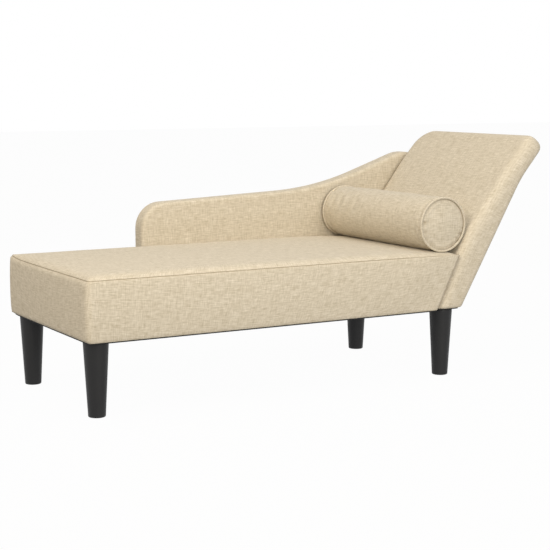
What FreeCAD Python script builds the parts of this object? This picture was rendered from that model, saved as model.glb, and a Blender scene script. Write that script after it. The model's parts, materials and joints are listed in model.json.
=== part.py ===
import FreeCAD, Part
import math
import os

# Chaise longue: a boxed seat, a leaning backrest and a waved side panel, each an
# upholstered frame of its own, bolted together on four tapered legs, with a loose bolster.
# The pieces are drawn with X from the foot face to the backrest, Y from the front face to
# the side panel and Z up from the floor. settle() moves them to the bottom centre.

V = FreeCAD.Vector

# Seat box
leg_height = 200.0
border_height = 157.5
seat_depth = 565.0
seat_length_low = 1078.5
seam_lean = 26.9
border_bulge = 5.0
seam_draw = 1.5
seat_roll = 10.0
seat_crown = 14.0
seat_corner_radius = 14.0
corner_margin = 1.0
foot_rise = 300.0
head_fall = 280.0
head_drop = 10.5

# Backrest, leans in degrees from upright
back_base = 86.0
front_lean = 34.5
rear_lean = 30.1
flare_lean = 40.5
back_rise = 493.0
flare_run = 101.0
flare_thickness = 64.0
back_edge = 26.0
bend_radius = 260.0
top_front_radius = 32.0
top_rear_radius = 30.0

# Side panel, seen from the front: slopes in degrees from level, lengths from the seat's head end
panel_thickness = 55.0
panel_reach = 672.5
panel_shoulder_rise = 132.5
panel_shoulder_radius = 62.0
panel_rise = 2.5
panel_wave_before = 58.5
panel_wave_slope = 20.0
panel_wave_radius = 1000.0
panel_peak_beyond = 243.5
panel_peak_radius = 120.0
panel_fall = 10.0
panel_rear_inset = 6.0
panel_rear_radius = 24.0
panel_edge = 22.0

# Cloth, padding and clearances
cloth = 2.0
padding = 8.0
ease = 0.3
dust_cloth = 0.8
back_foam_depth = 28.0
panel_edge_padding = 20.0
rear_panel_margin = 4.0
bevel_share = 0.77

# Wooden frame
board = 18.0
rail_height = 95.0
cross_rail_height = 60.0
cross_rail_shares = (0.34, 0.67)
block_height = 30.0
block_leg = 92.0
block_nose = 20.0
stile_rear_inset = 3.6
stile_top_inset = 34.0
joint_rail_low_rise = 44.0
joint_rail_top_rise = 96.0
middle_rail_rise = 245.0
middle_rail_width = 60.0
top_rail_width = 55.0

# Webbing
strap_width = 60.0
strap_thickness = 2.0
cross_strap_start = 95.0
cross_strap_pitch = 132.0
long_strap_pitch = 150.0
long_strap_count = 3
back_strap_width = 50.0
back_strap_pitch = 58.0
back_strap_count = 4

# Legs
leg_top_radius = 33.5
leg_foot_radius = 22.8
leg_foot_bevel = 2.5
leg_end_inset = 39.0
leg_side_inset = 50.0
head_leg_beyond = 48.5

# Fasteners
bolt_radius = 4.0
bolt_head = 5.3
bolt_play = 0.3
bolt_tail = 4.0
leg_bolt_depth = 45.0
nut_flats = 13.0
nut_height = 6.5
joint_bolt_count = 3
joint_bolt_margin = 95.0
joint_bolt_rise = 77.0
panel_bolts_before = (569.0, 139.0)
panel_bolt_rise = 50.0
stile_bolt_rise = 220.0
stile_bolt_inset = 16.0

# Bolster
bolster_radius = 78.5
bolster_end_radius = 76.0
bolster_start = 24.0
bolster_far_gap = 13.0
bolster_back_gap = 12.0
bolster_dome = 8.0
bolster_shoulder = 60.0
bolster_dome_flat = 30.0
piping_radius = 3.0
piping_sides = 6
turning_sides = 32
piping_gap = 0.1


# Leaning lines of the side view: where the line meets the floor, and its lean from upright
def leaning(x, z, lean):
    return (x - z * math.tan(math.radians(lean)), lean)


def shifted(line, distance):
    return (line[0] + distance / math.cos(math.radians(line[1])), line[1])


def along(line, z):
    return (line[0] + z * math.tan(math.radians(line[1])), z)


def above(x, line):
    return (x, (x - line[0]) / math.tan(math.radians(line[1])))


def meet(first, second):
    slope = math.tan(math.radians(first[1])) - math.tan(math.radians(second[1]))
    return along(first, (second[0] - first[0]) / slope)


# Heights and lines that several pieces share
seam_height = leg_height + border_height
overall_height = leg_height + back_rise
flare_height = overall_height - flare_run
panel_start = seat_length_low - panel_reach
panel_shoulder = seam_height + panel_shoulder_rise
panel_wave_start = seat_length_low - panel_wave_before
panel_peak = seat_length_low + panel_peak_beyond
joint_rail_low = leg_height + joint_rail_low_rise
joint_rail_top = leg_height + joint_rail_top_rise
middle_rail_height = leg_height + middle_rail_rise
stile_bolt_height = leg_height + stile_bolt_rise
head_leg_place = seat_length_low + head_leg_beyond
bolster_end = seat_depth - bolster_far_gap
frame_low = leg_height + dust_cloth
rail_top = frame_low + rail_height
foam_low = rail_top + 2 * strap_thickness + 2 * ease
under_cloth = cloth + ease
rail_inset = under_cloth + padding
stile_front_inset = cloth + back_foam_depth + strap_thickness
stile_setback = under_cloth + back_edge * bevel_share + ease
stile_low = stile_setback + board
stile_high = seat_depth - stile_low
panel_front = seat_depth + ease
panel_back = panel_front + panel_thickness
panel_board_front = panel_front + (panel_thickness - board) / 2
panel_board_back = panel_board_front + board
below_floor = leg_height - 2 * panel_edge

seam_line = leaning(seat_length_low, leg_height, seam_lean)
front_line = leaning(*along(seam_line, seam_height), front_lean)
flare_line = leaning(*along(front_line, flare_height), flare_lean)
rear_line = leaning(seat_length_low + back_base, leg_height, rear_lean)
flare_rear_line = shifted(flare_line, flare_thickness)
flare_up = V(math.sin(math.radians(flare_lean)), 0, math.cos(math.radians(flare_lean)))
flare_out = V(flare_up.z, 0, -flare_up.x)
top_x, top_z = along(flare_line, overall_height + top_front_radius * (flare_up.x + flare_up.z - 1))
seam_out = V(math.cos(math.radians(seam_lean)), 0, -math.sin(math.radians(seam_lean)))


# Point of the backrest's top, measured back from its front and down from its end
def from_top(out, down):
    spot = V(top_x, 0, top_z) + flare_out * out - flare_up * down
    return (spot.x, spot.z)


overall_length = from_top(flare_thickness - top_rear_radius, top_rear_radius)[0] + top_rear_radius
bottom_centre = V((overall_length - border_bulge) / 2, (panel_back - border_bulge) / 2, 0)


def settle(shape):
    moved = shape.copy()
    moved.translate(-bottom_centre)
    return moved


# Closed outline of straight runs, with a tangent arc at each corner that has a radius
def outline(points, radii, to_space):
    runs = []
    for i, (x, y) in enumerate(points):
        corner = V(x, y, 0)
        come = (corner - V(*points[i - 1], 0)).normalize()
        go = (V(*points[(i + 1) % len(points)], 0) - corner).normalize()
        half_turn = come.getAngle(go) / 2
        reach = radii[i] * math.tan(half_turn)
        inward = (go - come).normalize() * (radii[i] / math.cos(half_turn) - radii[i])
        stops = [corner - come * reach, corner + inward, corner + go * reach] if radii[i] else [corner]
        runs.append([to_space(stop.x, stop.y) for stop in stops])
    edges = []
    for i, run in enumerate(runs):
        if len(run) > 1:
            edges.append(Part.Arc(*run).toShape())
        edges.append(Part.LineSegment(run[-1], runs[(i + 1) % len(runs)][0]).toShape())
    return Part.Wire(edges)


def side_view(y):
    return lambda x, z: V(x, y, z)


def side_prism(points, y_low, y_high, radii=None):
    wire = outline(points, radii or [0] * len(points), side_view(y_low))
    return Part.Face(wire).extrude(V(0, y_high - y_low, 0))


def plan_prism(points, z_low, z_high):
    wire = outline(points, [0] * len(points), lambda x, y: V(x, y, z_low))
    return Part.Face(wire).extrude(V(0, 0, z_high - z_low))


def block(low, high):
    return Part.makeBox(high[0] - low[0], high[1] - low[1], high[2] - low[2], V(*low))


def group(solids):
    return Part.makeCompound(solids)


# Seat: a lengthwise profile crossed with a widthwise one, both rolled over the top edge
def seat_form(skin, floor, head_reach):
    half = leg_height + border_height / 2
    roll_top = seam_height + seat_roll - skin
    crown_top = seam_height + seat_crown - skin
    seam_in = seam_draw + skin
    roll_end = seam_draw + seat_roll
    roll_bend = roll_end - (seat_roll - skin) * math.sqrt(0.5)
    roll_lift = seam_height + (seat_roll - skin) * math.sqrt(0.5)
    head_line = shifted(seam_line, head_reach - ease)
    fall_start = along(seam_line, seam_height)[0] - head_fall
    fall_end = along(head_line, crown_top - head_drop)
    fall_middle = (fall_start + fall_end[0]) / 2

    def free_side(to_space):
        edges = [Part.Arc(to_space(skin, leg_height), to_space(skin - border_bulge, half),
                          to_space(seam_in, seam_height)).toShape(),
                 Part.Arc(to_space(seam_in, seam_height), to_space(roll_bend, roll_lift),
                          to_space(roll_end, roll_top)).toShape()]
        if floor < leg_height:
            edges.insert(0, Part.LineSegment(to_space(skin, floor), to_space(skin, leg_height)).toShape())
        return edges

    def lengthwise(x, z):
        return V(x, -border_bulge, z)

    def widthwise(y, z):
        return V(-border_bulge, y, z)

    rise_top = lengthwise(foot_rise, crown_top)
    rise_middle = lengthwise((roll_end + foot_rise) / 2, roll_top + 0.75 * (crown_top - roll_top))
    long_edges = free_side(lengthwise) + [
        Part.Arc(lengthwise(roll_end, roll_top), rise_middle, rise_top).toShape(),
        Part.LineSegment(rise_top, lengthwise(fall_start, crown_top)).toShape(),
        Part.Arc(lengthwise(fall_start, crown_top), lengthwise(fall_middle, crown_top - head_drop / 4),
                 lengthwise(*fall_end)).toShape(),
        Part.LineSegment(lengthwise(*fall_end), lengthwise(*along(head_line, floor))).toShape(),
        Part.LineSegment(lengthwise(*along(head_line, floor)), lengthwise(skin, floor)).toShape()]
    far = seat_depth - skin
    far_roll = seat_depth - roll_end
    wide_edges = free_side(widthwise) + [
        Part.Arc(widthwise(roll_end, roll_top), widthwise(seat_depth / 2, crown_top),
                 widthwise(far_roll, roll_top)).toShape(),
        Part.Arc(widthwise(far_roll, roll_top), widthwise(seat_depth - roll_bend, roll_lift),
                 widthwise(seat_depth - seam_in, seam_height)).toShape(),
        Part.LineSegment(widthwise(seat_depth - seam_in, seam_height), widthwise(far, leg_height)).toShape()]
    if floor < leg_height:
        wide_edges.append(Part.LineSegment(widthwise(far, leg_height), widthwise(far, floor)).toShape())
    wide_edges.append(Part.LineSegment(widthwise(far, floor), widthwise(skin, floor)).toShape())
    span = fall_end[0] + seat_length_low
    long_body = Part.Face(Part.Wire(long_edges)).extrude(V(0, seat_depth + 2 * border_bulge, 0))
    wide_body = Part.Face(Part.Wire(wide_edges)).extrude(V(span, 0, 0))
    plan_low = skin - border_bulge - corner_margin
    plan_high = seat_depth - skin + corner_margin
    plan = outline([(plan_low, plan_low), (span, plan_low), (span, plan_high), (plan_low, plan_high)],
                   [seat_corner_radius, 0, 0, seat_corner_radius], lambda x, y: V(x, y, floor))
    plan_body = Part.Face(plan).extrude(V(0, 0, overall_height - floor))
    return long_body.common(wide_body).common(plan_body).Solids[0]


def back_profile(inset, floor):
    points = [along(shifted(seam_line, inset), floor),
              meet(shifted(seam_line, inset), shifted(front_line, inset)),
              meet(shifted(front_line, inset), shifted(flare_line, inset)),
              from_top(inset, inset),
              from_top(flare_thickness - inset, inset),
              meet(shifted(rear_line, -inset), shifted(flare_rear_line, -inset)),
              along(shifted(rear_line, -inset), floor)]
    radii = [0, bend_radius - inset, bend_radius - inset, top_front_radius - inset,
             top_rear_radius - inset, bend_radius + inset, 0]
    return points, radii


def panel_profile(inset, floor):
    run = leaning(panel_start, panel_shoulder, 90 - panel_rise)
    climb = leaning(*above(panel_wave_start, run), 90 - panel_wave_slope)
    descent = leaning(*above(panel_peak, climb), 90 + panel_fall)
    rear = shifted(rear_line, -panel_rear_inset - inset)
    points = [(panel_start + inset, floor),
              above(panel_start + inset, shifted(run, inset)),
              meet(shifted(run, inset), shifted(climb, inset)),
              meet(shifted(climb, inset), shifted(descent, inset)),
              meet(shifted(descent, inset), rear),
              along(rear, floor)]
    radii = [0, panel_shoulder_radius - inset, panel_wave_radius + inset,
             panel_peak_radius - inset, panel_rear_radius - inset, 0]
    return points, radii


# Edges of a slab that lie in one of its faces, apart from the edge along the floor
def face_edges(slab, y, floor):
    flat = [edge for edge in slab.Edges if edge.BoundBox.YLength < 0.001]
    return [edge for edge in flat if abs(edge.BoundBox.YMin - y) < 0.001 and edge.BoundBox.ZMax > floor + 0.001]


# Rounded outside, bevelled inside where the cloth is lined with wadding
def back_form(skin, floor):
    points, radii = back_profile(skin, floor)
    slab = side_prism(points, skin, seat_depth - skin, radii)
    edges = face_edges(slab, skin, floor) + face_edges(slab, seat_depth - skin, floor)
    return slab.makeChamfer(back_edge * bevel_share, edges) if skin else slab.makeFillet(back_edge, edges)


def panel_form(skin, floor, rear):
    points, radii = panel_profile(skin, floor)
    slab = side_prism(points, panel_front + skin, rear, radii)
    edges = face_edges(slab, panel_front + skin, floor)
    return slab.makeChamfer(panel_edge * bevel_share, edges) if skin else slab.makeFillet(panel_edge, edges)


# Bolts and nuts: each has a start on the first board that it passes, and a direction
def rod(start, direction, radius, length):
    return Part.makeCylinder(radius, length, start, direction)


def faceted_rod(start, direction, flats, length, sides):
    across = V(0, 0, 1) if abs(direction.y) > 0.5 else V(0, 1, 0)
    beside = direction.cross(across)
    radius = flats / 2 / math.cos(math.pi / sides)
    corners = []
    for i in range(sides + 1):
        turn = 2 * math.pi * (i + 0.5) / sides
        corners.append(start + across * (radius * math.cos(turn)) + beside * (radius * math.sin(turn)))
    return Part.Face(Part.makePolygon(corners)).extrude(direction * length)


def bolt(start, direction, length):
    head = faceted_rod(start - direction * bolt_head, direction, nut_flats, bolt_head, 6)
    return head.fuse(rod(start, direction, bolt_radius, length)).removeSplitter()


def nut(face, direction):
    return faceted_rod(face, direction, nut_flats, nut_height, 6).cut(rod(face, direction, bolt_radius, nut_height))


def bolt_hole(start, direction, length):
    return rod(start - direction * ease, direction, bolt_radius + bolt_play, length + ease)


# Body turned round an axis from an outline of (radius, travel), drawn with flat sides
def turned(points, start, direction):
    across = V(1, 0, 0)
    beside = direction.cross(across)

    def ring(radius, travel):
        turns = [2 * math.pi * i / turning_sides for i in range(turning_sides + 1)]
        centre = start + direction * travel
        return [centre + across * (radius * math.cos(turn)) + beside * (radius * math.sin(turn)) for turn in turns]

    faces = []
    for (radius, travel), (next_radius, next_travel) in zip(points, points[1:] + points[:1]):
        if radius + next_radius == 0:
            continue
        loop = ring(radius, travel)
        next_loop = ring(next_radius, next_travel)
        if travel == next_travel:
            wires = [Part.makePolygon(line) for line, size in ((loop, radius), (next_loop, next_radius)) if size]
            wires.sort(key=lambda wire: -wire.BoundBox.DiagonalLength)
            faces.append(Part.Face(wires))
            continue
        for i in range(turning_sides):
            corners = [loop[i], loop[i + 1], next_loop[i + 1], next_loop[i], loop[i]]
            faces.append(Part.Face(Part.makePolygon(corners)))
    shell = Part.makeShell(faces)
    shell.sewShape()
    body = Part.Solid(shell)
    if body.Volume < 0:
        body.reverse()
    return body


# Knife-cut square opening for a bolt through cloth and foam
def slit(start, direction, length):
    return faceted_rod(start - direction * ease, direction, 2 * (bolt_radius + bolt_play), length + ease, 4)


def nut_pocket(face, direction):
    return faceted_rod(face, direction, nut_flats + 2 * bolt_play, nut_height + bolt_tail, 6)


upward = V(0, 0, 1)
rearward = V(0, 1, 0)
leg_places = {"leg_foot_front": (leg_end_inset, leg_side_inset),
              "leg_foot_rear": (leg_end_inset, seat_depth - leg_side_inset),
              "leg_head_front": (head_leg_place, leg_side_inset),
              "leg_head_rear": (head_leg_place, seat_depth - leg_side_inset)}
leg_nut_face = frame_low + block_height
leg_bolt_length = leg_bolt_depth + dust_cloth + block_height + nut_height + bolt_tail
leg_starts = [V(x, y, leg_height - leg_bolt_depth) for x, y in leg_places.values()]
leg_holes = [bolt_hole(start, upward, leg_bolt_length) for start in leg_starts]
leg_slits = [slit(start, upward, leg_bolt_length) for start in leg_starts]

joint_face = shifted(seam_line, -ease - board)
joint_stack = 2 * board + cloth + 2 * ease
joint_length = joint_stack + nut_height + bolt_tail
joint_step = (seat_depth - 2 * joint_bolt_margin) / (joint_bolt_count - 1)
joint_x, joint_z = along(joint_face, leg_height + joint_bolt_rise)
joint_starts = [V(joint_x, joint_bolt_margin + i * joint_step, joint_z) for i in range(joint_bolt_count)]
joint_nuts = [start + seam_out * joint_stack for start in joint_starts]
joint_holes = [bolt_hole(start, seam_out, joint_length) for start in joint_starts]
joint_slits = [slit(start, seam_out, joint_length) for start in joint_starts]

stile_bolt_x = along(shifted(front_line, stile_front_inset), stile_bolt_height)[0] + stile_bolt_inset
panel_starts = [V(seat_length_low - before, seat_depth - rail_inset - board, leg_height + panel_bolt_rise)
                for before in panel_bolts_before]
panel_starts.append(V(stile_bolt_x, stile_high, stile_bolt_height))
panel_nuts = [V(start.x, panel_board_back, start.z) for start in panel_starts]
panel_lengths = [panel_board_back + nut_height + bolt_tail - start.y for start in panel_starts]
panel_holes = [bolt_hole(start, rearward, length) for start, length in zip(panel_starts, panel_lengths)]
panel_slits = [slit(start, rearward, length) for start, length in zip(panel_starts, panel_lengths)]
panel_pockets = [nut_pocket(face, rearward) for face in panel_nuts]


# Leg: tapered, bevelled at the floor, bored for its bolt
def leg(x, y):
    slope = (leg_top_radius - leg_foot_radius) / leg_height
    outline_points = [(0, 0), (leg_foot_radius - leg_foot_bevel, 0),
                      (leg_foot_radius + leg_foot_bevel * slope, leg_foot_bevel), (leg_top_radius, leg_height),
                      (0, leg_height)]
    bore = rod(V(x, y, leg_height - leg_bolt_depth), upward, bolt_radius, leg_bolt_depth)
    return turned(outline_points, V(x, y, 0), upward).cut(bore)


def long_rail(y_low):
    points = [(rail_inset, frame_low), along(joint_face, frame_low), along(joint_face, rail_top),
              (rail_inset, rail_top)]
    return side_prism(points, y_low, y_low + board)


def seat_frame():
    inner_low = rail_inset + board
    inner_high = seat_depth - inner_low
    rails = {"seat_front_rail": long_rail(rail_inset),
             "seat_rear_rail": long_rail(inner_high).cut(panel_holes),
             "seat_foot_rail": block((rail_inset, inner_low, frame_low), (inner_low, inner_high, rail_top))}
    far = shifted(joint_face, board)
    head = [along(joint_face, frame_low), along(far, frame_low), along(far, rail_top), along(joint_face, rail_top)]
    rails["seat_head_rail"] = side_prism(head, rail_inset, seat_depth - rail_inset).cut(joint_holes)
    for name, share in zip(("seat_cross_rail_foot", "seat_cross_rail_head"), cross_rail_shares):
        x = share * seat_length_low
        low = (x - board / 2, inner_low, frame_low)
        rails[name] = block(low, (x + board / 2, inner_high, frame_low + cross_rail_height))
    corner = [(0, 0), (block_leg, 0), (block_leg, block_nose), (block_nose, block_leg), (0, block_leg)]
    front = [(inner_low + x, inner_low + y) for x, y in corner]
    rear = [(inner_low + x, inner_high - y) for x, y in corner]
    blocks = [plan_prism(points, frame_low, leg_nut_face).cut(leg_holes) for points in (front, rear)]
    rails["seat_corner_blocks"] = group(blocks)
    return rails


# Side of a lengthwise strap, woven over one cross strap and under the next
def woven_side(start, end, crossings):
    middle = rail_top + strap_thickness / 2
    lift = strap_thickness + ease
    reach = strap_width / 2
    line = [(start, middle), (start + board, middle)]
    for i, place in enumerate(crossings):
        height = middle + (-lift if i % 2 else lift)
        line += [(place - reach, height), (place + reach, height)]
    line += [(end - board, middle), (end, middle)]
    top = [(place, height + strap_thickness / 2) for place, height in line]
    low = [(place, height - strap_thickness / 2) for place, height in line]
    return low + top[::-1]


def seat_webbing():
    head_end = along(shifted(seam_line, -2 * ease), rail_top)[0]
    last = along(joint_face, rail_top)[0] - strap_width
    count = int((last - cross_strap_start) / cross_strap_pitch) + 1
    cross_places = [cross_strap_start + i * cross_strap_pitch for i in range(count)]
    side = woven_side(rail_inset, head_end, cross_places)
    first = seat_depth / 2 - long_strap_pitch * (long_strap_count - 1) / 2 - strap_width / 2
    lows = [first + j * long_strap_pitch for j in range(long_strap_count)]
    lengthwise = [side_prism(side, low, low + strap_width) for low in lows]
    crosswise = [block((x - strap_width / 2, rail_inset, rail_top),
                       (x + strap_width / 2, seat_depth - rail_inset, rail_top + strap_thickness))
                 for x in cross_places]
    return {"seat_webbing_lengthwise": group(lengthwise), "seat_webbing_crosswise": group(crosswise)}


def seat_upholstery():
    far = 2 * seat_length_low
    deep = 2 * seat_depth
    cover = seat_form(0, leg_height, 0).cut(seat_form(cloth, below_floor, padding))
    cover = cover.cut(panel_slits)
    top_room = block((-far, -deep, seam_height), (far, deep, overall_height))
    inside = seat_form(under_cloth, leg_height, -ease)
    foam_room = block((-far, -deep, foam_low), (far, deep, overall_height))
    band_room = block((-far, -deep, frame_low), (far, deep, foam_low - ease))
    frame_room = block((rail_inset, rail_inset, 0), (far, seat_depth - rail_inset, overall_height))
    dust_end = along(shifted(seam_line, -2 * ease), leg_height)[0]
    sheet = block((under_cloth, under_cloth, leg_height), (dust_end, seat_depth - under_cloth, frame_low))
    return {"seat_top_cover": cover.common(top_room),
            "seat_border_cover": cover.cut(top_room),
            "seat_foam": inside.common(foam_room),
            "seat_border_padding": inside.common(band_room).cut([frame_room] + panel_slits),
            "seat_dust_cover": sheet.cut(leg_slits)}


def back_frame():
    inset = stile_front_inset
    low_front = shifted(seam_line, under_cloth)
    rear = shifted(rear_line, -stile_rear_inset)
    side = [along(low_front, frame_low),
            along(low_front, joint_rail_top),
            along(shifted(seam_line, inset), joint_rail_top),
            meet(shifted(seam_line, inset), shifted(front_line, inset)),
            meet(shifted(front_line, inset), shifted(flare_line, inset)),
            from_top(inset, stile_top_inset),
            from_top(flare_thickness - stile_rear_inset, stile_top_inset),
            meet(rear, shifted(flare_rear_line, -stile_rear_inset)),
            along(rear, frame_low)]
    frame = {"back_front_stile": side_prism(side, stile_setback, stile_low),
             "back_rear_stile": side_prism(side, stile_high, seat_depth - stile_setback).cut(panel_holes)}
    behind = shifted(low_front, board)
    joint = [along(low_front, joint_rail_low), along(behind, joint_rail_low),
             along(behind, joint_rail_top), along(low_front, joint_rail_top)]
    frame["back_joint_rail"] = side_prism(joint, stile_low, stile_high).cut(joint_holes)
    base = [along(low_front, frame_low), along(rear, frame_low), along(rear, leg_nut_face),
            along(low_front, leg_nut_face)]
    frame["back_leg_board"] = side_prism(base, stile_low, stile_high).cut(leg_holes)
    ahead = shifted(rear, -board)
    low = middle_rail_height - middle_rail_width / 2
    high = middle_rail_height + middle_rail_width / 2
    middle = [along(ahead, low), along(rear, low), along(rear, high), along(ahead, high)]
    frame["back_middle_rail"] = side_prism(middle, stile_low, stile_high)
    out = flare_thickness - stile_rear_inset
    top = [from_top(out - board, stile_top_inset + top_rail_width), from_top(out, stile_top_inset + top_rail_width),
           from_top(out, stile_top_inset), from_top(out - board, stile_top_inset)]
    frame["back_top_rail"] = side_prism(top, stile_low, stile_high)
    return frame


def back_webbing():
    face = shifted(front_line, cloth + back_foam_depth)
    behind = shifted(face, strap_thickness)
    straps = []
    for i in range(back_strap_count):
        low = seam_height + i * back_strap_pitch
        high = low + back_strap_width * math.cos(math.radians(front_lean))
        side = [along(face, low), along(behind, low), along(behind, high), along(face, high)]
        straps.append(side_prism(side, stile_setback, seat_depth - stile_setback))
    return group(straps)


def back_upholstery():
    cover = back_form(0, leg_height).cut(back_form(cloth, below_floor))
    cover = cover.cut(joint_slits + panel_slits)
    margin = back_edge + rear_panel_margin
    ahead = -2 * cloth
    rear_side = [along(shifted(rear_line, ahead), leg_height),
                 meet(shifted(rear_line, ahead), shifted(flare_rear_line, ahead)),
                 from_top(flare_thickness + ahead, top_rear_radius + rear_panel_margin),
                 from_top(flare_thickness + back_edge, top_rear_radius + rear_panel_margin),
                 meet(shifted(rear_line, back_edge), shifted(flare_rear_line, back_edge)),
                 along(shifted(rear_line, back_edge), leg_height)]
    rear_room = side_prism(rear_side, margin, seat_depth - margin)
    inset = cloth + back_foam_depth
    step = joint_rail_top + ease
    hollow = [along(shifted(seam_line, -inset), below_floor),
              along(shifted(seam_line, -inset), step),
              along(shifted(seam_line, inset), step),
              meet(shifted(seam_line, inset), shifted(front_line, inset)),
              meet(shifted(front_line, inset), shifted(flare_line, inset)),
              from_top(inset, stile_top_inset - ease),
              from_top(2 * flare_thickness, stile_top_inset - ease),
              along(shifted(rear_line, flare_thickness), below_floor)]
    hollow_room = side_prism(hollow, stile_setback - ease, seat_depth - stile_setback + ease)
    foam = back_form(under_cloth, frame_low).cut([hollow_room] + panel_slits)
    front = along(shifted(seam_line, under_cloth), leg_height)[0]
    rear = along(shifted(rear_line, -back_edge), leg_height)[0]
    sheet = block((front + ease, stile_setback, leg_height), (rear, seat_depth - stile_setback, frame_low))
    return {"back_cover": cover.cut(rear_room),
            "back_rear_panel": cover.common(rear_room),
            "back_foam": foam,
            "back_dust_cover": sheet.cut(leg_slits)}


def side_panel():
    cover = panel_form(0, leg_height, panel_back).cut(panel_form(cloth, below_floor, panel_back + padding))
    points, radii = panel_profile(under_cloth, frame_low)
    sheet = side_prism(points, panel_back - cloth, panel_back, radii)
    points, radii = panel_profile(panel_edge_padding, frame_low)
    core = side_prism(points, panel_board_front, panel_board_back, radii)
    filler = panel_form(under_cloth, frame_low, panel_back - under_cloth)
    return {"side_panel_board": core.cut(panel_holes),
            "side_panel_padding": filler.cut([core] + panel_slits + panel_pockets),
            "side_panel_inner_cover": cover.cut(panel_slits),
            "side_panel_outer_cover": sheet}


# Bolster: rests in the corner of the seat's falling end and the backrest
def seat_surface(x):
    fall_start = along(seam_line, seam_height)[0] - head_fall
    run = along(seam_line, seam_height + seat_crown - head_drop)[0] - fall_start
    return seam_height + seat_crown - head_drop * ((x - fall_start) / run) ** 2


def bolster_axis():
    x = seat_length_low
    for _ in range(8):
        z = seat_surface(x) + bolster_radius + 2 * ease
        x = along(shifted(front_line, -bolster_radius - bolster_back_gap), z)[0]
    return x, z


def bolster():
    axis_x, axis_z = bolster_axis()
    near = bolster_start
    far = bolster_end
    rim = bolster_end_radius
    clear = piping_radius + piping_gap

    # Half outline from the middle of one end to the other, drawn in by a skin
    def half_outline(skin):
        dome = bolster_dome - skin
        return [(0, near - dome), (bolster_dome_flat, near - dome), (rim - clear - skin, near + skin),
                (rim - skin, near + clear), (bolster_radius - skin, near + bolster_shoulder),
                (bolster_radius - skin, far - bolster_shoulder), (rim - skin, far - clear),
                (rim - clear - skin, far - skin), (bolster_dome_flat, far + dome), (0, far + dome)]

    def piping(y):
        turns = [2 * math.pi * i / piping_sides for i in range(piping_sides)]
        return [(rim + piping_radius * math.cos(turn), y + piping_radius * math.sin(turn)) for turn in turns]

    outside = half_outline(0)
    inside = half_outline(cloth)
    outlines = {"bolster_filling": half_outline(under_cloth),
                "bolster_tube_cover": outside[3:7] + inside[3:7][::-1],
                "bolster_front_end": outside[:3] + inside[:3][::-1],
                "bolster_rear_end": outside[7:] + inside[7:][::-1],
                "bolster_front_piping": piping(near),
                "bolster_rear_piping": piping(far)}
    return {name: turned(points, V(axis_x, 0, axis_z), rearward) for name, points in outlines.items()}


def fasteners():
    leg_bolts = [rod(start, upward, bolt_radius, leg_bolt_length) for start in leg_starts]
    leg_nuts = [nut(V(start.x, start.y, leg_nut_face), upward) for start in leg_starts]
    panel_bolts = [bolt(start, rearward, length) for start, length in zip(panel_starts, panel_lengths)]
    return {"leg_bolts": group(leg_bolts),
            "leg_nuts": group(leg_nuts),
            "seat_back_bolts": group([bolt(start, seam_out, joint_length) for start in joint_starts]),
            "seat_back_nuts": group([nut(face, seam_out) for face in joint_nuts]),
            "side_panel_bolts": group(panel_bolts),
            "side_panel_nuts": group([nut(face, rearward) for face in panel_nuts])}


nodes = {name: leg(x, y) for name, (x, y) in leg_places.items()}
for pieces in (seat_frame(), seat_webbing(), seat_upholstery(), back_frame(), {"back_webbing": back_webbing()},
               back_upholstery(), side_panel(), bolster(), fasteners()):
    nodes.update(pieces)

os.makedirs("parts", exist_ok=True)
for name, shape in nodes.items():
    settle(shape).exportStep(f"parts/{name}.step")

whole = group([settle(shape) for shape in nodes.values()]).BoundBox
print(len(nodes), "nodes,", round(whole.XLength, 1), round(whole.YLength, 1), round(whole.ZLength, 1))
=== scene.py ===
import json
import math

import bmesh
import bpy
import numpy as np
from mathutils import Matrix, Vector


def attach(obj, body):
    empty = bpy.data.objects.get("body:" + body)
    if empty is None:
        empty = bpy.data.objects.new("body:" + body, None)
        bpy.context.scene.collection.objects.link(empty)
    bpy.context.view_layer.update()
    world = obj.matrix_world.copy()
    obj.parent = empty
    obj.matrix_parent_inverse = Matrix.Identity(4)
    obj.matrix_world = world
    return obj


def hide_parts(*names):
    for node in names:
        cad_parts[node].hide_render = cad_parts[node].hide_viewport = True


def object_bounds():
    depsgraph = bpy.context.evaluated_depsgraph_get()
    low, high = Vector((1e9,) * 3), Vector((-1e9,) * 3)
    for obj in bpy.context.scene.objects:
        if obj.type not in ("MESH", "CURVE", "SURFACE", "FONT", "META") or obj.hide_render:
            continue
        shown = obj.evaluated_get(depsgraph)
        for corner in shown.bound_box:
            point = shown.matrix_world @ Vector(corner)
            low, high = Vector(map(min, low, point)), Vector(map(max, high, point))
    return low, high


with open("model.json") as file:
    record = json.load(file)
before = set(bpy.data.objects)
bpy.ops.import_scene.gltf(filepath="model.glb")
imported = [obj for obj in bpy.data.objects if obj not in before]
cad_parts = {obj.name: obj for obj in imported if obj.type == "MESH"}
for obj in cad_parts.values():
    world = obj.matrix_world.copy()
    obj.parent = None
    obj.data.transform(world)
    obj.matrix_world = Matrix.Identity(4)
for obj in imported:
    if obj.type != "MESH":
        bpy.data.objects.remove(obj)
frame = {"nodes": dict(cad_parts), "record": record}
cadLow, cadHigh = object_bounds()
scene = bpy.context.scene

# Drawn in millimetres from the foot face, the front face and the floor, then moved to the row frame.
# The solids' cover bulges out past both faces, so their box starts that much earlier. Rounded to a
# thousandth, because the filled cloth takes other wrinkles at the smallest shift.
coverBulge = 5.0
origin = np.round(-1000 * np.array(cadLow) - (coverBulge, coverBulge, 0), 3)
sizes = {"legHeight": 200.0, "seamHeight": 357.5, "flareHeight": 592.0, "overall": 690.3, "depth": 565.0,
         "seatLow": 1078.5, "backBase": 88.0, "flareThick": 60.0, "topRadius": 32.0,
         "seamLean": 26.4, "frontLean": 35.2, "rearLean": 30.1, "flareLean": 40.5}  # leans in degrees


def toRow(points):
    return (np.asarray(points, float) - origin) / 1000


def lean(degrees):
    return math.tan(math.radians(degrees))


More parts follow.
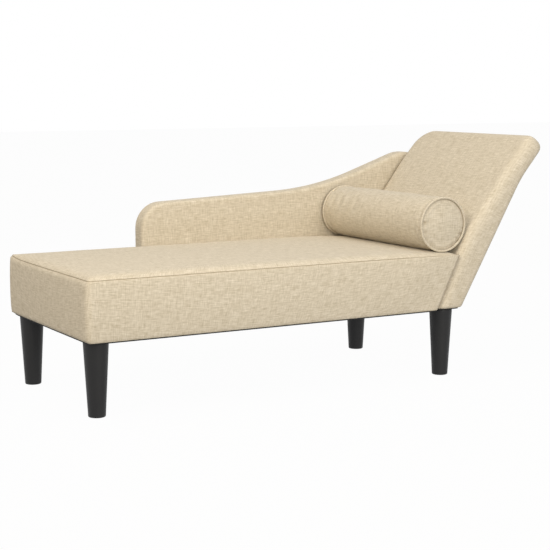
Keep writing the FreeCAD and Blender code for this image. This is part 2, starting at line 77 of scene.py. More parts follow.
def smooth(value, low, high):
    t = np.clip((np.asarray(value, float) - low) / (high - low), 0, 1)
    return t * t * (3 - 2 * t)


# Low waves of cloth over padding, the same each run
def ripple(points, length, seed, waves=7):
    turns = np.random.default_rng(seed).normal(size=(waves, 3))
    turns *= (2 * math.pi / length) / np.linalg.norm(turns, axis=1)[:, None]
    phases = np.random.default_rng(seed + 1).uniform(0, 2 * math.pi, waves)
    return np.sin(np.asarray(points) @ turns.T + phases).sum(1) / waves


# Closed outline with an arc at each corner, and the place of each arc's middle in it
def roundedPath(corners, radii, step=1.5):
    points, middles = [], []
    count = len(corners)
    for i, radius in enumerate(radii):
        before, here, after = (np.array(corners[(i + k) % count], float) for k in (-1, 0, 1))
        come = (here - before) / np.linalg.norm(here - before)
        go = (after - here) / np.linalg.norm(after - here)
        turn = math.atan2(come[0] * go[1] - come[1] * go[0], come @ go)
        start = here - come * radius * math.tan(abs(turn) / 2)
        arm = math.copysign(radius, turn) * np.array([come[1], -come[0]])
        pieces = max(2, int(abs(turn) * radius / step))
        middles.append(len(points) + pieces // 2)
        for k in range(pieces + 1):
            c, s = math.cos(turn * k / pieces), math.sin(turn * k / pieces)
            points.append(start - arm + (c * arm[0] - s * arm[1], s * arm[0] + c * arm[1]))
    return np.array(points), middles


def evenly(path, count):
    gaps = np.linalg.norm(np.diff(path, axis=0), axis=1)
    run = np.concatenate([[0], np.cumsum(gaps)])
    stops = np.linspace(0, run[-1], count + 1)
    return np.stack([np.interp(stops, run, column) for column in path.T], 1)


# Rim in four sides (low, far, high, near) with equal counts on facing sides
def rimOf(path, breaks, along, across):
    doubled = np.concatenate([path, path])
    sides = []
    for i, count in enumerate((along, across, along, across)):
        first, last = breaks[i], breaks[(i + 1) % 4]
        if last <= first:
            last += len(path)
        sides.append(evenly(doubled[first:last + 1], count)[:-1])
    return np.concatenate(sides)


def outwardOf(rim):
    run = np.roll(rim, -1, 0) - np.roll(rim, 1, 0)
    run /= np.linalg.norm(run, axis=1)[:, None]
    return np.stack([run[:, 1], -run[:, 0]], 1)


# Quarter roll from a face to the rim, fuller than an arc: (share of the inset, share of the depth, offset)
def roll(radius, steps, back=False, fullness=1.35):
    turns = [math.pi / 2 * (1 - k / steps) for k in range(steps + 1)]
    loops = [(1 - math.cos(a), 0.0, radius * (1 - math.sin(a)) ** fullness) for a in turns]
    if back:
        return [(inset, 1.0, -offset) for inset, _, offset in loops[::-1]]
    return loops


# Straight stretch of the edge between a front roll and a back one
def band(front, back, steps):
    shares = [k / steps for k in range(1, steps)]
    return [(0.0, s, front * (1 - s) - back * s) for s in shares]


# Loops of a padded board: front roll, edge, rear roll, then the seam that closes the rear
def rolledLoops(form, radius, outlineAt):
    front, edge, rear = form["steps"]
    share = form["rearShare"]
    loops = [(outlineAt(inset), d, offset)
             for inset, d, offset in roll(radius, front) + band(radius, share * radius, edge)]
    loops += [(outlineAt(share * inset), d, offset) for inset, d, offset in roll(share * radius, rear, True)]
    return loops + [(outlineAt(share, extra), 1.0, offset) for extra, offset in form["rearSeam"]]


# Seam thread and painted shade on the deepest loop of that seam
def rearThreadAndShade(form, loops, total):
    count = len(loops[0][0])
    first = (len(loops) - 1 - len(form["rearSeam"]) // 2) * count
    threadAndShadeMarks = np.zeros(total)
    threadAndShadeMarks[first:first + count] = 1.0
    return threadAndShadeMarks


# Faces between rings of points that close on themselves
def ringFaces(rings, count):
    faces = []
    for k in range(rings - 1):
        for i in range(count):
            j = (i + 1) % count
            faces.append([k * count + i, k * count + j, (k + 1) * count + j, (k + 1) * count + i])
    return faces


# Closed padded slab: a grid on each face and loops round its rim, each (outline, share of the depth, offset).
# The cloth coordinates wrap over the edge, or from the border loop on run round it as a strip.
def slab(loops, along, across, depthAt, border=None):
    flat = np.array([outline for outline, _, _ in loops])
    count = flat.shape[1]
    rim = flat[len(loops) // 2]
    shares = np.array([np.broadcast_to(share, count) for _, share, _ in loops])
    offsets = np.array([np.broadcast_to(offset, count) for _, _, offset in loops])
    depth = shares * depthAt(flat[..., 1]) + offsets
    step = np.hypot(np.linalg.norm(np.diff(flat, axis=0), axis=2), np.diff(depth, axis=0))
    travel = np.concatenate([np.zeros((1, count)), np.cumsum(step, 0)])
    wrapped = flat[0] + outwardOf(rim) * travel[..., None]
    around = np.concatenate([[0], np.cumsum(np.linalg.norm(np.roll(rim, -1, 0) - rim, axis=1))])
    points = [np.concatenate([flat.reshape(-1, 2), depth.reshape(-1, 1)], 1)]
    bells = [np.zeros(flat.shape[0] * count)]
    faces = ringFaces(len(loops), count)
    cloth = []
    for face in faces:
        corners = [divmod(place, count) for place in face]
        k, i = corners[0]
        if border is not None and k >= border:
            cloth.append([(around[n], travel[a, b]) for n, (a, b) in zip((i, i + 1, i + 1, i), corners)])
        else:
            cloth.append([tuple(wrapped[a, b]) for a, b in corners])
    total = len(loops) * count
    u = np.linspace(0, 1, along + 1)[:, None, None]
    v = np.linspace(0, 1, across + 1)[None, :, None]
    bell = (16 * u * (1 - u) * v * (1 - v))[1:-1, 1:-1, 0].ravel()  # 0 at the rim, 1 in the middle of a face
    for loop, share in ((0, 0.0), (len(loops) - 1, 1.0)):
        ring = np.concatenate([flat[loop], flat[loop][:1]])
        low, far = ring[:along + 1], ring[along:along + across + 1]
        high, near = ring[along + across:2 * along + across + 1][::-1], ring[2 * along + across:][::-1]
        ends = (1 - u) * (1 - v) * low[0] + u * (1 - v) * low[-1] + (1 - u) * v * high[0] + u * v * high[-1]
        patch = (1 - v) * low[:, None] + v * high[:, None] + (1 - u) * near[None] + u * far[None] - ends
        inner = patch[1:-1, 1:-1].reshape(-1, 2)
        points.append(np.column_stack([inner, share * depthAt(inner[:, 1])]))
        bells.append(bell * (1 - 2 * share))
        places = loop * count + np.append(np.arange(count), 0)
        ids = np.empty((along + 1, across + 1), int)
        ids[:, 0] = places[:along + 1]
        ids[-1] = places[along:along + across + 1]
        ids[::-1, -1] = places[along + across:2 * along + across + 1]
        ids[0, ::-1] = places[2 * along + across:]
        ids[1:-1, 1:-1] = total + np.arange(len(inner)).reshape(along - 1, across - 1)
        total += len(inner)
        for i in range(along):
            for j in range(across):
                square = [(i, j), (i + 1, j), (i + 1, j + 1), (i, j + 1)]
                faces.append([int(ids[a, b]) for a, b in square])
                cloth.append([tuple(patch[a, b]) for a, b in square])
    return np.concatenate(points), np.concatenate(bells), faces, cloth


# Mesh with cloth coordinates in metres and a seam mark from 0 to 1 at each point: seam thread and painted
# shade
def makePiece(name, points, faces, cloth, material, seam=0.0):
    mesh = bpy.data.meshes.new(name)
    mesh.from_pydata([tuple(p) for p in toRow(points)], [], faces)
    layer = mesh.uv_layers.new(name="cloth")
    corners = np.array([corner for face in cloth for corner in face]) / 1000
    layer.data.foreach_set("uv", corners.astype(np.float32).ravel())
    threadAndShadeMark = mesh.attributes.new("seam", "FLOAT", "POINT")
    threadAndShadeMark.data.foreach_set("value", np.array(np.broadcast_to(seam, len(points)), np.float32))
    work = bmesh.new()
    work.from_mesh(mesh)
    bmesh.ops.recalc_face_normals(work, faces=work.faces)
    work.to_mesh(mesh)
    work.free()
    mesh.shade_smooth()
    mesh.materials.append(material)
    piece = bpy.data.objects.new(name, mesh)
    scene.collection.objects.link(piece)
    return piece


# Cloth under pressure from its filling, held at the pinned points, moved by no more than a few mm
def inflate(piece, pins, stuffing):
    mesh = piece.data
    piece.vertex_groups.new(name="pins").add([int(i) for i in pins], 1.0, "REPLACE")
    cover = piece.modifiers.new("cover", "CLOTH")
    for key, value in stuffing["cloth"].items():
        setattr(cover.settings, key, value)
    cover.settings.vertex_group_mass = "pins"
    cover.settings.effector_weights.gravity = 0
    cover.collision_settings.use_collision = False
    cover.point_cache.frame_start = 1
    cover.point_cache.frame_end = stuffing["steps"]
    before = np.empty(len(mesh.vertices) * 3)
    mesh.vertices.foreach_get("co", before)
    for step in range(1, stuffing["steps"] + 1):
        scene.frame_set(step)
    filled = piece.evaluated_get(bpy.context.evaluated_depsgraph_get()).data
    after = np.empty(len(before))
    filled.vertices.foreach_get("co", after)
    piece.modifiers.remove(cover)
    scene.frame_set(1)
    move = (after - before).reshape(-1, 3)
    length = np.linalg.norm(move, axis=1)
    print(piece.name, "swelled by up to", round(length.max() * 1000, 2), "mm before the cap")
    most = stuffing["most"] / 1000
    move *= (most * np.tanh(length / most) / np.maximum(length, 1e-9))[:, None]
    mesh.vertices.foreach_set("co", before + move.ravel())
    mesh.update()


# Materials
def linear(code):
    parts = [int(code[i:i + 2], 16) / 255 for i in (1, 3, 5)]
    return tuple(c / 12.92 if c <= 0.04045 else ((c + 0.055) / 1.055) ** 2.4 for c in parts) + (1.0,)


def node(tree, kind, inputs=None, **settings):
    made = tree.nodes.new(kind)
    for key, value in settings.items():
        setattr(made, key, value)
    for key, value in (inputs or {}).items():
        if isinstance(value, bpy.types.NodeSocket):
            tree.links.new(value, made.inputs[key])
        else:
            made.inputs[key].default_value = value
    return made


def newMaterial(name):
    made = bpy.data.materials.new(name)
    made.use_nodes = True
    made.node_tree.nodes.clear()
    return made, made.node_tree


# Linen-look polyester, woven from slubbed yarn both ways: the beige breaks into short light and dark dashes.
# Real threads are well under a millimetre wide, so they are drawn several times coarser to show.
weave = {"noises": {"weft": (30, 2.9, 2.0, 0.95), "warp": (2.8, 28, 2.0, 0.8), "fleck": (8, 5.5, 1.0, 0.28),
                    "cloud": (22, 22, 2.0, 0.2)},  # mm along, mm across, detail, weight
         "crossing": 2.4,  # mm for two threads, over and under
         "crossingTone": 0.03, "crossingHeight": 0.12, "dashHeight": 0.6,
         # seam and seamShade: colour and strength of the seam thread with painted shade
         "dark": "#b3a891", "light": "#ded5c4", "range": (0.68, 1.54), "seam": "#7d6847", "seamShade": 0.9}


def linenCloth():
    made, tree = newMaterial("linenCloth")
    uv = node(tree, "ShaderNodeUVMap", uv_map="cloth").outputs[0]
    tone = 0.0
    for name, (along, across, detail, weight) in weave["noises"].items():
        grid = node(tree, "ShaderNodeVectorMath", {0: uv, 1: (1000 / along, 1000 / across, 0)},
                    operation="MULTIPLY")
        noise = node(tree, "ShaderNodeTexNoise", {"Vector": grid.outputs[0], "Scale": 1.0, "Detail": detail,
                                                  "Roughness": 0.6}, noise_dimensions="2D")
        tone = node(tree, "ShaderNodeMath", {0: noise.outputs[0], 1: weight, 2: tone},
                    operation="MULTIPLY_ADD").outputs[0]
        if name == "fleck":
            dashes = tone  # what stands up as thread, without the clouds
    turn = 2 * math.pi * 1000 / weave["crossing"]
    grid = node(tree, "ShaderNodeVectorMath", {0: uv, 1: (turn, turn, 0)}, operation="MULTIPLY")
    waves = node(tree, "ShaderNodeVectorMath", {0: grid.outputs[0]}, operation="SINE")
    waves = node(tree, "ShaderNodeSeparateXYZ", {0: waves.outputs[0]})
    over = node(tree, "ShaderNodeMath", {0: waves.outputs[0], 1: waves.outputs[1]}, operation="MULTIPLY")
    tone = node(tree, "ShaderNodeMath", {0: over.outputs[0], 1: weave["crossingTone"], 2: tone},
                operation="MULTIPLY_ADD")
    share = node(tree, "ShaderNodeMapRange", {0: tone.outputs[0], 1: weave["range"][0], 2: weave["range"][1]})
    colour = node(tree, "ShaderNodeMix", {0: share.outputs[0], 6: linear(weave["dark"]),
                                          7: linear(weave["light"])}, data_type="RGBA")
    seam = node(tree, "ShaderNodeAttribute", attribute_name="seam")
    deep = node(tree, "ShaderNodeMath", {0: seam.outputs[2], 1: weave["seamShade"]}, operation="MULTIPLY")
    sewnAndShaded = node(tree, "ShaderNodeMix", {0: deep.outputs[0], 6: colour.outputs[2], 7: linear(weave["seam"])},
                data_type="RGBA")  # seam thread and painted shade, in seams, in creases and where parts meet
    knots = node(tree, "ShaderNodeMath", {0: over.outputs[0], 1: weave["crossingHeight"]},
                 operation="MULTIPLY")
    height = node(tree, "ShaderNodeMath", {0: dashes, 1: weave["dashHeight"], 2: knots.outputs[0]},
                  operation="MULTIPLY_ADD")
    bump = node(tree, "ShaderNodeBump", {"Strength": 0.45, "Distance": 0.0006, "Height": height.outputs[0]})
    surface = node(tree, "ShaderNodeBsdfPrincipled", {
        "Base Color": sewnAndShaded.outputs[2], "Roughness": 0.92, "Specular IOR Level": 0.15, "Sheen Weight": 0.12,
        "Sheen Roughness": 0.5, "Normal": bump.outputs[0]})
    node(tree, "ShaderNodeOutputMaterial", {"Surface": surface.outputs[0]})
    return made


# Satin black plastic, moulded: fine spark grain and a soft sheen down the taper
def blackPlastic():
    made, tree = newMaterial("blackPlastic")
    place = node(tree, "ShaderNodeTexCoord").outputs[3]
    grain = node(tree, "ShaderNodeTexNoise", {"Vector": place, "Scale": 1000 / 1.11, "Detail": 2.0})  # mm
    cloud = node(tree, "ShaderNodeTexNoise", {"Vector": place, "Scale": 1000 / 33.3, "Detail": 3.0})
    colour = node(tree, "ShaderNodeMix", {0: cloud.outputs[0], 6: linear("#0e0e0f"), 7: linear("#161617")},
                  data_type="RGBA")
    rough = node(tree, "ShaderNodeMapRange", {0: cloud.outputs[0], 1: 0.3, 2: 0.7, 3: 0.42, 4: 0.55})
    bump = node(tree, "ShaderNodeBump", {"Strength": 0.12, "Distance": 0.0003, "Height": grain.outputs[0]})
    surface = node(tree, "ShaderNodeBsdfPrincipled", {
        "Base Color": colour.outputs[2], "Roughness": rough.outputs[0], "Specular IOR Level": 0.36,
        "Normal": bump.outputs[0]})
    node(tree, "ShaderNodeOutputMaterial", {"Surface": surface.outputs[0]})
    return made


# Black polypropylene lining, bonded from fibre: dull, with flecks
def dustCloth():
    made, tree = newMaterial("dustCloth")
    place = node(tree, "ShaderNodeTexCoord").outputs[3]
    fleck = node(tree, "ShaderNodeTexNoise", {"Vector": place, "Scale": 1000 / 2.38, "Detail": 4.0})  # mm
    colour = node(tree, "ShaderNodeMix", {0: fleck.outputs[0], 6: linear("#141414"), 7: linear("#2a2a2a")},
                  data_type="RGBA")
    bump = node(tree, "ShaderNodeBump", {"Strength": 0.3, "Distance": 0.0004, "Height": fleck.outputs[0]})
    surface = node(tree, "ShaderNodeBsdfPrincipled", {
        "Base Color": colour.outputs[2], "Roughness": 0.95, "Normal": bump.outputs[0]})
    node(tree, "ShaderNodeOutputMaterial", {"Surface": surface.outputs[0]})
    return made


# Pine, sawn: long pale grain
def sawnPine():
    made, tree = newMaterial("sawnPine")
    place = node(tree, "ShaderNodeTexCoord").outputs[3]
    grid = node(tree, "ShaderNodeVectorMath", {0: place, 1: (1000 / 83, 1000 / 17, 1000 / 3.8)},
                operation="MULTIPLY")  # mm along and across the grain
    grain = node(tree, "ShaderNodeTexNoise", {"Vector": grid.outputs[0], "Scale": 1.0, "Detail": 5.0,
                                              "Distortion": 0.6})
    colour = node(tree, "ShaderNodeMix", {0: grain.outputs[0], 6: linear("#a67c4a"), 7: linear("#dcbd8b")},
                  data_type="RGBA")
    bump = node(tree, "ShaderNodeBump", {"Strength": 0.25, "Distance": 0.0005, "Height": grain.outputs[0]})
    surface = node(tree, "ShaderNodeBsdfPrincipled", {
        "Base Color": colour.outputs[2], "Roughness": 0.7, "Normal": bump.outputs[0]})
    node(tree, "ShaderNodeOutputMaterial", {"Surface": surface.outputs[0]})
    return made


# Elastic webbing, woven: black with fine cross ribs
def elasticWebbing():
    made, tree = newMaterial("elasticWebbing")
    place = node(tree, "ShaderNodeTexCoord").outputs[3]
    pitch = 2 * math.pi / 20 * 1000 / 1.96  # ribs 1.96 mm apart, as the wave turns 20 times its scale
    ribs = node(tree, "ShaderNodeTexWave", {"Vector": place, "Scale": pitch, "Distortion": 0.4})
    colour = node(tree, "ShaderNodeMix", {0: ribs.outputs[1], 6: linear("#191919"), 7: linear("#3a3733")},
                  data_type="RGBA")
    bump = node(tree, "ShaderNodeBump", {"Strength": 0.4, "Distance": 0.0005, "Height": ribs.outputs[1]})
    surface = node(tree, "ShaderNodeBsdfPrincipled", {
        "Base Color": colour.outputs[2], "Roughness": 0.85, "Normal": bump.outputs[0]})
    node(tree, "ShaderNodeOutputMaterial", {"Surface": surface.outputs[0]})
    return made


# Zinc-plated steel: dull silver with cloudy roughness
def zincPlate():
    made, tree = newMaterial("zincPlate")
    place = node(tree, "ShaderNodeTexCoord").outputs[3]
    cloud = node(tree, "ShaderNodeTexNoise", {"Vector": place, "Scale": 1000 / 4.2, "Detail": 3.0})  # mm
    colour = node(tree, "ShaderNodeMix", {0: cloud.outputs[0], 6: linear("#b9b8b2"), 7: linear("#dddcd6")},
                  data_type="RGBA")
    rough = node(tree, "ShaderNodeMapRange", {0: cloud.outputs[0], 1: 0.3, 2: 0.7, 3: 0.3, 4: 0.5})
    surface = node(tree, "ShaderNodeBsdfPrincipled", {
        "Base Color": colour.outputs[2], "Roughness": rough.outputs[0], "Metallic": 1.0})
    node(tree, "ShaderNodeOutputMaterial", {"Surface": surface.outputs[0]})
    return made


linen = linenCloth()
plastic = blackPlastic()
lining = dustCloth()
slotLooks = {"frame_wood": sawnPine(), "webbing": elasticWebbing(), "plated_steel": zincPlate(),
             "dust_cloth": lining}

for row in frame["record"]["subparts"]:
    shown = frame["nodes"][row["node"]]
    if row["material_slot"] in slotLooks:
        shown.data.materials.clear()
        shown.data.materials.append(slotLooks[row["material_slot"]])
print("materials done")

# Seat box: a top cover that swells up from the seam, and a border that bulges below it
seat = {"headGap": 0.6, "rearGap": 0.4, "corner": 8.0, "farCorner": 3.0, "headCorner": 6.0,
        "along": 150, "across": 72, "low": 198.6, "lowRoll": 4.0,
        "topSteps": (64, 52, 41, 32, 24, 17.5, 12, 8, 5, 3, 1.6, 0.6),  # mm in from the seam
        "seamSteps": ((1.9, 0.1), (2.5, 0.7), (1.5, 1.4), (0.9, 2.4)),  # mm in and down
        "seamInset": 1.2, "sideInset": 0.8, "sideLoops": 26,
        "rise": 13.0, "swell": 11.0, "crown": 1.5, "fall": 280.0, "drop": 10.5,
        "bulge": 5.5, "footBulge": 8.6, "fullness": 0.8, "footFullness": 0.24,  # a lower power is fuller
        "headFade": (8.0, 160.0), "panelFade": (330.0, 400.0), "rearFade": (30.0, 5.0), "panelHold": 0.9,
        "footFade": (-12.0, 30.0), "footSlant": 0.6, "coverFade": (-4.0, 8.0),
        "pull": 8.0, "pullReach": 38.0, "pullDepth": 80.0, "leanLimit": 12.0,
        "waves": (0.4, 150.0, 3), "wavesFade": (5.0, 120.0),  # mm high, mm long, seed
        # seam loops get seam thread and painted shade; the head end gets painted shade against the backrest
        "seamThreadAndShade": (0.3, 1.0, 0.3), "headPaintedShade": 0.7, "headShade": (3.5, 0.5)}
seatLength = sizes["seatLow"] + (sizes["seamHeight"] - sizes["legHeight"]) * lean(sizes["seamLean"])
seatLength -= seat["headGap"]
seatDepth = sizes["depth"] - seat["rearGap"]


def seatOutline(inset):
    radii = [max(seat[name] - inset, 1.5 + 0.25 * inset)
             for name in ("corner", "headCorner", "headCorner", "farCorner")]
    path, middles = roundedPath([(inset, inset), (seatLength - inset, inset),
                                 (seatLength - inset, seatDepth - inset), (inset, seatDepth - inset)], radii)
    return rimOf(path, middles, seat["along"], seat["across"])


def seatLoops(rim):
    x, y = rim.T
    byPanel = smooth(y, *(seatDepth - gap for gap in seat["rearFade"])) * smooth(x, *seat["panelFade"])
    atFoot = smooth(y - x * seat["footSlant"], *seat["footFade"])
    bulge = seat["bulge"] + (seat["footBulge"] - seat["bulge"]) * atFoot
    bulge *= smooth(seatLength - x, *seat["headFade"]) * (1 - seat["panelHold"] * byPanel)  # pressed flat
    fullness = seat["fullness"] + (seat["footFullness"] - seat["fullness"]) * atFoot
    rise, swell = seat["rise"], seat["swell"]
    height = sizes["seamHeight"] - seat["low"]
    loops = []
    for d in seat["topSteps"]:
        down = math.exp(-d / swell) - math.exp(-seat["topSteps"][0] / swell)
        loops.append((seatOutline(seat["seamInset"] + d), 0.0, rise * down))
    loops += [(seatOutline(inset), 0.0, rise + down) for inset, down in seat["seamSteps"]]
    for f in np.linspace(0.04, 0.97, seat["sideLoops"]):
        out = bulge * math.sin(math.pi * f) ** fullness - seat["sideInset"]
        loops.append((rim + outwardOf(rim) * out[:, None], 0.0, rise + height * f))
    for a in np.radians(np.linspace(15, 90, 5)):
        inset = seat["sideInset"] + seat["lowRoll"] * (1 - math.cos(a))
        loops.append((seatOutline(inset), 0.0, rise + height - seat["lowRoll"] * (1 - math.sin(a))))
    loops[-1] = (loops[-1][0], 1.0, 0.0)
    return loops


def buildSeat():
    seam, rise = sizes["seamHeight"], seat["rise"]
    rim = seatOutline(0.0)
    loops = seatLoops(rim)
    seamLoop = len(seat["topSteps"])
    points, _, faces, cloth = slab(loops, seat["along"], seat["across"],
                                   lambda q: np.full_like(q, rise + seam - seat["low"]), seamLoop)
    x, y, z = points[:, 0], points[:, 1], seam + rise - points[:, 2]
    threadAndShadeMarks = seat["headPaintedShade"] * smooth(x, *(seatLength - gap for gap in seat["headShade"]))  # painted shade where the seat meets the backrest
    # seam thread and painted shade along the seam loops
    for k, share in enumerate(seat["seamThreadAndShade"]):
        first = (seamLoop + k) * len(rim)
        threadAndShadeMarks[first:first + len(rim)] = np.maximum(threadAndShadeMarks[first:first + len(rim)], share)
    upper = smooth(z, *(seam + gap for gap in seat["coverFade"]))  # the top cover, not the border
    acrossX, acrossY = np.clip(x / seatLength, 0, 1), np.clip(y / seatDepth, 0, 1)
    z += upper * seat["crown"] * np.sin(math.pi * acrossX) ** 0.7 * np.sin(math.pi * acrossY)
    z -= upper * seat["drop"] * np.clip((x - seatLength + seat["fall"]) / seat["fall"], 0, 1) ** 2
    pull = seat["pull"] * np.exp(-np.hypot(x, seatDepth - y) / seat["pullReach"])
    z += pull * smooth(z, seam - seat["pullDepth"], seam) \
        * (1 - smooth(z, seam + 1, seam + rise))  # the seam is drawn up at the far foot corner
    head = 1 + np.minimum(z - seam, seat["leanLimit"]) * lean(sizes["seamLean"]) / seatLength
    placed = np.stack([x * head, y, z], 1)
    high, long, seed = seat["waves"]
    placed[:, 2] += high * ripple(placed, long, seed) * upper * smooth(seatLength - x, *seat["wavesFade"])
    return makePiece("seatCushion", placed, faces, cloth, linen, threadAndShadeMarks)


# Backrest: flat slab bent to the leaning, flaring profile
back = {"roll": 34.0, "lowRoll": 6.0, "rearShare": 0.62, "lowCorner": 8.0, "nearCorner": 34.0,
        "farCorner": 76.0, "along": 92, "across": 100, "bend": 30.0, "crown": 5.0, "crownStart": 150.0,
        "belly": 8.5, "bellyHeight": 262.0, "bellyBelow": 55.0, "bellyAbove": 95.0, "steps": (10, 7, 8),
        "waves": (0.5, 130.0, 11), "wavesFrom": (170.0, 260.0),  # mm high, mm long, seed
        "rearSeam": ((3, 0.0), (4.2, -0.4), (5, -1.8), (5.8, -0.4), (7, 0.0))}  # mm in and out


# Straight runs joined by soft bends
def bentLine(corners):
    corners = [np.array(corner) for corner in corners]
    run = [corners[0]]
    for before, here, after in zip(corners, corners[1:], corners[2:]):
        come, go = np.linalg.norm(here - before), np.linalg.norm(after - here)
        reach = min(back["bend"], come / 2, go / 2)
        first = here + (before - here) / come * reach
        last = here + (after - here) / go * reach
        run += [(1 - t) ** 2 * first + 2 * t * (1 - t) * here + t * t * last for t in np.linspace(0, 1, 9)]
    return evenly(np.array(run + [corners[-1]]), 200)


# Front and rear lines from the side, as (length, height)
def backProfile():
    low = (sizes["seatLow"], sizes["legHeight"])
    rise = sizes["seamHeight"] - sizes["legHeight"]
    joint = (low[0] + rise * lean(sizes["seamLean"]), sizes["seamHeight"])
    rise = sizes["flareHeight"] - sizes["seamHeight"]
    bend = (joint[0] + rise * lean(sizes["frontLean"]), sizes["flareHeight"])
    flare = math.radians(sizes["flareLean"])
    up = np.array([math.sin(flare), math.cos(flare)])
    rise = sizes["overall"] + sizes["topRadius"] * (up.sum() - 1) - sizes["flareHeight"]
    top = np.array(bend) + up * rise / up[1]
    rearTop = top + sizes["flareThick"] * np.array([up[1], -up[0]])
    rearLow = (low[0] + sizes["backBase"], sizes["legHeight"])
    rearFoot = rearLow[0] - rearLow[1] * lean(sizes["rearLean"])
    flareFoot = rearTop[0] - rearTop[1] * lean(sizes["flareLean"])
    rearZ = (flareFoot - rearFoot) / (lean(sizes["rearLean"]) - lean(sizes["flareLean"]))
    rearBend = (rearFoot + rearZ * lean(sizes["rearLean"]), rearZ)
    return bentLine([low, joint, bend, top]), bentLine([rearLow, rearBend, rearTop])


# Outline from the front with a full inset at the sides and top and a small one at the bottom
def backOutline(height, inset, low):
    width = sizes["depth"]
    radii = [max(back["lowCorner"] - low, 2.0), max(back["lowCorner"] - low, 2.0),
             max(back["farCorner"] - inset, 4.0), max(back["nearCorner"] - inset, 4.0)]
    path, middles = roundedPath([(inset, low), (width - inset, low), (width - inset, height - inset),
                                 (inset, height - inset)], radii)
    return rimOf(path, middles, back["along"], back["across"])


def buildBack():
    front, rear = backProfile()
    height = np.linalg.norm(np.diff(front, axis=0), axis=1).sum()
    stops = np.linspace(0, height, len(front))
    thick = np.linalg.norm(rear - front, axis=1)

    def depthAt(q):
        return np.interp(q, stops, thick)

    def outlineAt(share, extra=0.0):
        return backOutline(height, share * back["roll"] + extra, share * back["lowRoll"] + extra)

    rim = outlineAt(0.0)
    fromMiddle = abs(rim[:, 0] / sizes["depth"] - 0.5)
    atSide = np.maximum(smooth(rim[:, 1], 3, 12), smooth(fromMiddle, 0.4, 0.4925))  # all but the bottom
    radius = back["lowRoll"] + (back["roll"] - back["lowRoll"]) * atSide
    loops = rolledLoops(back, radius, outlineAt)
    points, _, faces, cloth = slab(loops, back["along"], back["across"], depthAt)
    p, q = points[:, 0] / sizes["depth"], points[:, 1]
    f = np.stack([np.interp(q, stops, column) for column in front.T], 1)
    r = np.stack([np.interp(q, stops, column) for column in rear.T], 1)
    aim = (r - f) / np.linalg.norm(r - f, axis=1)[:, None]
    facing = 1 - smooth(points[:, 2] / depthAt(q), 0.0, 0.5)
    rising = np.clip((q - back["crownStart"]) / (height - back["crownStart"]), 0, 1)
    swell = back["crown"] * np.sin(math.pi * np.clip(p, 0, 1)) ** 0.35 * np.sin(math.pi * rising ** 0.7)
    reach = np.where(q < back["bellyHeight"], back["bellyBelow"], back["bellyAbove"])
    swell += back["belly"] * np.sin(math.pi * np.clip(p, 0.004, 0.996)) ** 0.1 \
        * np.exp(-((q - back["bellyHeight"]) / reach) ** 2)  # the padding comes out to meet the bolster
    middle = f + aim * (points[:, 2] - facing * swell)[:, None]
    placed = np.stack([middle[:, 0], points[:, 0], middle[:, 1]], 1)
    high, long, seed = back["waves"]
    waves = high * ripple(placed, long, seed) * smooth(q, *back["wavesFrom"])
    placed += waves[:, None] * [-0.8, 0, 0.5]
    return makePiece("backrestPad", placed, faces, cloth, linen, rearThreadAndShade(back, loops, len(points)))


# Side panel with the waved top
panel = {"start": 406.0, "shoulder": 490.0, "shoulderRadius": 78.0, "rise": 2.5, "waveStart": 1030.0,
         "slope": 19.1, "waveRadius": 1000.0, "peak": 1344.0, "peakRadius": 115.0, "fall": 10.0,
         "rearInset": 6.0, "rearRadius": 20.0, "lowCorner": 9.0, "front": 565.5, "thick": 54.8, "roll": 14.0,
         "lowRoll": 5.0, "rollFade": 60.0, "rearShare": 0.7, "along": 170, "across": 58, "steps": (8, 4, 6),
         "crown": 2.0, "crownTop": 500.0, "crownFade": 60.0, "crownDepth": 20.0,
         "bareAbove": (385.0, 440.0), "bareBefore": (1060.0, 1180.0),  # clear of the seat and the backrest
         "waves": (0.4, 140.0, 23),  # mm high, mm long, seed
         "rearSeam": ((2, 0.0), (2.8, -0.3), (3.4, -1.6), (4, -0.3), (5, 0.0))}  # mm in and out


# Low foot end, low head end, top of the slanted rear, peak, start of the wave, shoulder
def panelRim():
    lowZ = sizes["legHeight"]
    waveZ = panel["shoulder"] + (panel["waveStart"] - panel["start"]) * lean(panel["rise"])
    peakZ = waveZ + (panel["peak"] - panel["waveStart"]) * lean(panel["slope"])
    inset = panel["rearInset"] / math.cos(math.radians(sizes["rearLean"]))
    rearX = sizes["seatLow"] + sizes["backBase"] - inset
    run = rearX + (peakZ - lowZ) * lean(sizes["rearLean"]) - panel["peak"]
    drop = run / (1 / lean(panel["fall"]) + lean(sizes["rearLean"]))
    rearTop = (panel["peak"] + drop / lean(panel["fall"]), peakZ - drop)
    corners = [(panel["start"], lowZ), (rearX, lowZ), rearTop, (panel["peak"], peakZ),
               (panel["waveStart"], waveZ), (panel["start"], panel["shoulder"])]
    radii = [panel[name] for name in ("lowCorner", "lowCorner", "rearRadius", "peakRadius", "waveRadius",
                                      "shoulderRadius")]
    path, middles = roundedPath(corners, radii)
    return rimOf(path, [middles[i] for i in (0, 1, 2, 5)], panel["along"], panel["across"])


